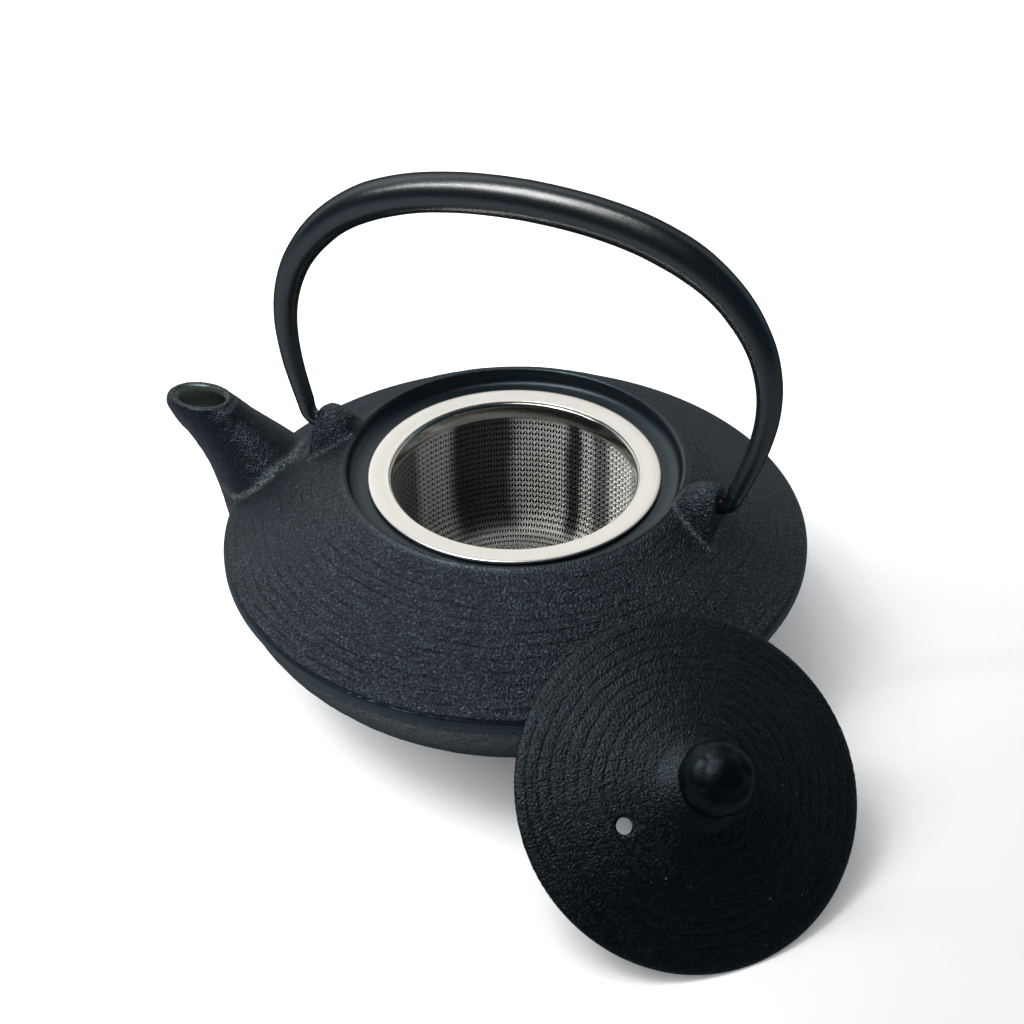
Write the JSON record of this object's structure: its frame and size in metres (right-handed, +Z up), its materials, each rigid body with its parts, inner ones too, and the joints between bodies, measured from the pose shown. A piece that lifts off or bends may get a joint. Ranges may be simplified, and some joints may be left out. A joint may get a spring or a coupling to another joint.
{
  "type": "teapot",
  "caption": "Low cast-iron teapot with swinging bail handle, lift-out mesh strainer and lift-off lid shown leaning against the pot.",
  "frame": {"origin": "centre of the flat underside of the pot, on the table", "axes": "+Z up; the spout points to -X; the two handle lugs and the handle's swing axis lie along X; -Y is the front, towards the viewer"},
  "size_m": [0.1973, 0.173, 0.1294],
  "materials": {
    "cast_iron_pot": "matte black, sand-cast grain with fine turned brush lines",
    "cast_iron_lid": "matte black, sand-cast grain with fine turned brush lines",
    "cast_iron_knob": "matte black, softly faceted",
    "washer_iron": "dark, smooth",
    "handle_enamel": "satin black",
    "hook_enamel": "satin black, worn at the bend",
    "rim_steel": "satin, bright inner bead",
    "collar_steel": "smooth, reflective",
    "mesh_steel": "plain-weave wire"
  },
  "bodies": {
    "pot": {"pot_body": "cast_iron_pot"},
    "infuser": {"infuser_rim": "rim_steel", "infuser_collar": "collar_steel", "infuser_mesh": "mesh_steel"},
    "lid": {"lid_casting": "cast_iron_lid", "lid_knob": "cast_iron_knob", "lid_knob_washer": "washer_iron"},
    "handle": {"handle_tube": "handle_enamel", "handle_hook_left": "hook_enamel", "handle_hook_right": "hook_enamel"}
  },
  "joints": [
    {"name": "handle_swing", "type": "hinge", "parent": "pot", "child": "handle", "pos_m": [0, 0, 0.0573], "axis": [1, 0, 0], "range_deg": [-88, 88]},
    {"name": "infuser_lift", "type": "slide", "parent": "pot", "child": "infuser", "axis": [0, 0, 1], "range_m": [0, 0.055]},
    {"name": "lid_lift", "type": "slide", "parent": "pot", "child": "lid", "axis": [0.4608, -0.4595, 0.7593], "range_m": [0, 0.1]}
  ]
}
